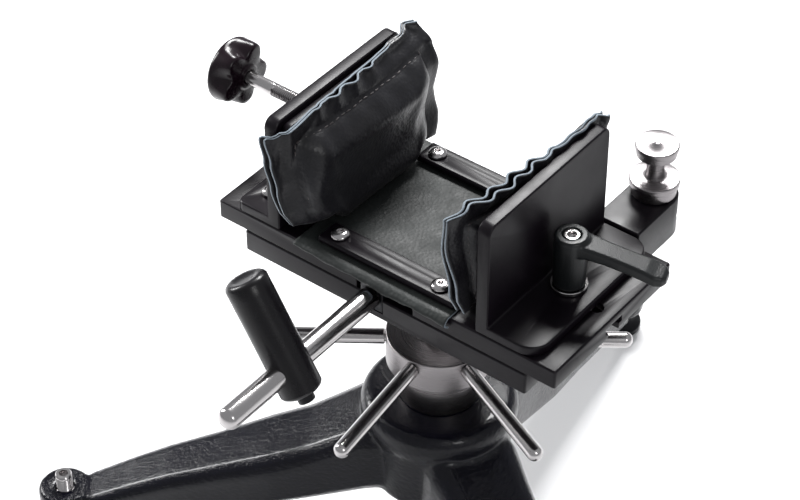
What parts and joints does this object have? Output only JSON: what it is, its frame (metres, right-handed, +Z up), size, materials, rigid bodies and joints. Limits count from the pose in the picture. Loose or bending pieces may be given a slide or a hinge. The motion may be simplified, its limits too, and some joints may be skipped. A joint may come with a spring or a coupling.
{
  "type": "adjustable cradle rest",
  "caption": "Bench-top padded cradle rest on a cast tripod base, with a capstan nut for height, a hand-shaft traverse, a screw jaw, a clamped jaw and a round stop post.",
  "frame": {"origin": "centre of the bounding box's footprint, on the floor plane under the levelling pads", "axes": "+Z up along the lifting column, +X along the carriage's long side towards the clamp lever, -Y towards the user, where the traverse handle is"},
  "size_m": [0.4202, 0.4162, 0.322],
  "materials": {
    "cast_iron_paint": "glossy hammered black paint",
    "black_anodised": "satin black anodised",
    "black_steel": "black oxide",
    "stainless": "polished",
    "turned_aluminium": "fine turned",
    "bronze": "machined",
    "black_plastic": "satin moulded",
    "black_leather": "smooth grained"
  },
  "bodies": {
    "base": {"base_casting": "cast_iron_paint", "column_bush": "bronze", "thrust_collar": "turned_aluminium", "thrust_washer": "stainless", "guide_key_screw": "black_steel"},
    "capstan": {"capstan_hub": "turned_aluminium", "capstan_spoke_1": "stainless", "capstan_spoke_2": "stainless", "capstan_spoke_3": "stainless", "capstan_spoke_4": "stainless", "capstan_spoke_5": "stainless", "capstan_spoke_6": "stainless"},
    "column": {"lift_column": "stainless", "column_flange": "black_steel", "flange_screw_1": "black_steel", "flange_screw_2": "black_steel", "flange_screw_3": "black_steel", "slide_bed": "black_anodised", "guide_rail": "stainless", "shaft_bearing_front": "black_steel", "shaft_bearing_rear": "black_steel"},
    "traverse_shaft": {"traverse_shaft": "stainless", "pinion": "black_steel", "traverse_handle": "black_plastic", "handle_clamp_screw": "black_steel"},
    "carriage": {"carriage_plate": "black_anodised", "rack": "black_steel", "left_bracket": "black_anodised", "bracket_screw_1": "stainless", "bracket_screw_2": "stainless", "bag_floor": "black_leather", "clamp_bar_front": "black_anodised", "clamp_bar_rear": "black_anodised", "bar_screw_front_1": "stainless", "bar_screw_front_2": "stainless", "bar_screw_rear_1": "stainless", "bar_screw_rear_2": "stainless", "stop_block": "black_anodised", "stop_block_screw_1": "black_steel", "stop_block_screw_2": "black_steel"},
    "stop_post": {"stop_post": "turned_aluminium"},
    "right_jaw": {"right_bracket": "black_anodised", "clamp_washer": "stainless", "clamp_t_nut": "black_steel", "right_ear": "black_leather"},
    "clamp_stud": {"clamp_stud": "black_steel", "lever_screw": "stainless"},
    "clamp_lever": {"clamp_lever": "black_plastic"},
    "left_jaw": {"pressure_plate": "black_anodised", "left_ear": "black_leather"},
    "knob": {"jaw_screw": "stainless", "star_knob": "black_plastic"},
    "foot_left": {"foot_pad_left": "black_steel"},
    "foot_screw_left": {"levelling_screw_left": "stainless"},
    "foot_front": {"foot_pad_front": "black_steel"},
    "foot_screw_front": {"levelling_screw_front": "stainless"},
    "foot_back": {"foot_pad_back": "black_steel"},
    "foot_screw_back": {"levelling_screw_back": "stainless"}
  },
  "joints": [
    {"name": "capstan_turn", "type": "hinge", "parent": "base", "child": "capstan", "pos_m": [-0.0098, -0.03207, 0.1651], "axis": [0, 0, 1], "range_deg": [-3600, 3600]},
    {"name": "column_lift", "type": "slide", "parent": "base", "child": "column", "axis": [0, 0, 1], "range_m": [-0.025, 0.025]},
    {"name": "carriage_traverse", "type": "slide", "parent": "column", "child": "carriage", "axis": [1, 0, 0], "range_m": [-0.02, 0.002]},
    {"name": "traverse_shaft_turn", "type": "hinge", "parent": "column", "child": "traverse_shaft", "pos_m": [-0.01631, -0.03207, 0.2312], "axis": [0, 1, 0], "range_deg": [-170, 18]},
    {"name": "right_jaw_slide", "type": "slide", "parent": "carriage", "child": "right_jaw", "axis": [1, 0, 0], "range_m": [-0.01, 0.01]},
    {"name": "clamp_turn", "type": "hinge", "parent": "right_jaw", "child": "clamp_stud", "pos_m": [0.07419, -0.03207, 0.252], "axis": [0, 0, 1], "range_deg": [0, 70]},
    {"name": "lever_lift", "type": "slide", "parent": "clamp_stud", "child": "clamp_lever", "axis": [0, 0, 1], "range_m": [0, 0.004], "stiffness_N_per_m": 250, "springref_m": -0.004},
    {"name": "jaw_screw_turn", "type": "hinge", "parent": "left_jaw", "child": "knob", "pos_m": [-0.15981, -0.03207, 0.2863], "axis": [1, 0, 0], "range_deg": [0, 2304]},
    {"name": "left_jaw_slide", "type": "slide", "parent": "carriage", "child": "left_jaw", "axis": [1, 0, 0], "range_m": [0, 0.008]},
    {"name": "stop_post_turn", "type": "hinge", "parent": "carriage", "child": "stop_post", "pos_m": [0.06799, 0.05803, 0.252], "axis": [0, 0, 1], "continuous": true},
    {"name": "foot_turn_left", "type": "hinge", "parent": "foot_left", "child": "foot_screw_left", "pos_m": [-0.19411, -0.16113, 0.02], "axis": [0, 0, 1], "range_deg": [-1440, 720]},
    {"name": "foot_slide_left", "type": "slide", "parent": "base", "child": "foot_left", "axis": [0, 0, 1], "range_m": [-0.006, 0.003]},
    {"name": "foot_turn_front", "type": "hinge", "parent": "foot_front", "child": "foot_screw_front", "pos_m": [0.19411, -0.12716, 0.02], "axis": [0, 0, 1], "range_deg": [-1440, 720]},
    {"name": "foot_slide_front", "type": "slide", "parent": "base", "child": "foot_front", "axis": [0, 0, 1], "range_m": [-0.006, 0.003]},
    {"name": "foot_turn_back", "type": "hinge", "parent": "foot_back", "child": "foot_screw_back", "pos_m": [-0.02942, 0.19207, 0.02], "axis": [0, 0, 1], "range_deg": [-1440, 720]},
    {"name": "foot_slide_back", "type": "slide", "parent": "base", "child": "foot_back", "axis": [0, 0, 1], "range_m": [-0.006, 0.003]}
  ],
  "couplings": [
    {"joint": "column_lift", "follows": "capstan_turn", "m_per_rad": -0.00039789},
    {"joint": "traverse_shaft_turn", "follows": "carriage_traverse", "rad_per_m": 147.06},
    {"joint": "jaw_screw_turn", "follows": "left_jaw_slide", "rad_per_m": 5026.5},
    {"joint": "foot_turn_left", "follows": "foot_slide_left", "rad_per_m": 4188.8},
    {"joint": "foot_turn_front", "follows": "foot_slide_front", "rad_per_m": 4188.8},
    {"joint": "foot_turn_back", "follows": "foot_slide_back", "rad_per_m": 4188.8}
  ]
}
